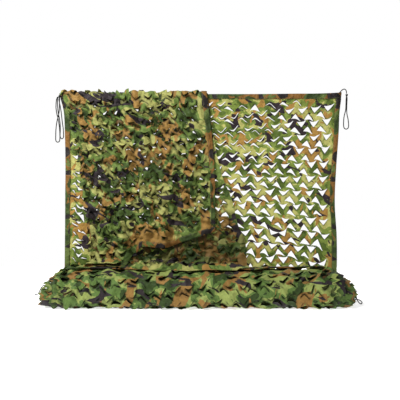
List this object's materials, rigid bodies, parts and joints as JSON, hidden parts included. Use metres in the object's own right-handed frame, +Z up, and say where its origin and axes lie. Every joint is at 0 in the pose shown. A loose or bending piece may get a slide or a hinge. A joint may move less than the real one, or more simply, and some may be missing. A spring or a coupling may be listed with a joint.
{
  "type": "camouflage net",
  "caption": "Camouflage net of leaf-cut cloth, hung by its top edge with its lower length rolled up on the floor and a doubled drape of the same cloth over its left half.",
  "frame": {"origin": "middle of the line between the two top corners of the hung net, in its plane", "axes": "+X across the net to the right as seen by the viewer, +Z up, the viewer stands at -Y; the floor is at z = -1.08 m"},
  "size_m": [1.7142, 0.4374, 1.1046],
  "materials": {
    "net_cloth": "matt woodland print, leaf-cut",
    "binding_tape": "matt woodland print, folded and sewn",
    "tie_cord": "braided dark green cord"
  },
  "bodies": {
    "root": {"net": "net_cloth", "front_drape": "net_cloth", "top_binding": "binding_tape", "left_binding": "binding_tape", "right_binding": "binding_tape", "end_binding": "binding_tape", "drape_side_binding": "binding_tape", "drape_hem_binding": "binding_tape", "knot_top_left": "tie_cord", "knot_top_right": "tie_cord", "knot_right_wrap": "tie_cord", "knot_roll_left": "tie_cord", "knot_roll_right": "tie_cord", "tie_top_left_front": "tie_cord", "tie_top_left_back": "tie_cord", "tie_top_right_bend": "tie_cord", "tie_top_right_loop": "tie_cord", "tie_roll_left": "tie_cord", "tie_roll_right": "tie_cord"}
  },
  "joints": []
}
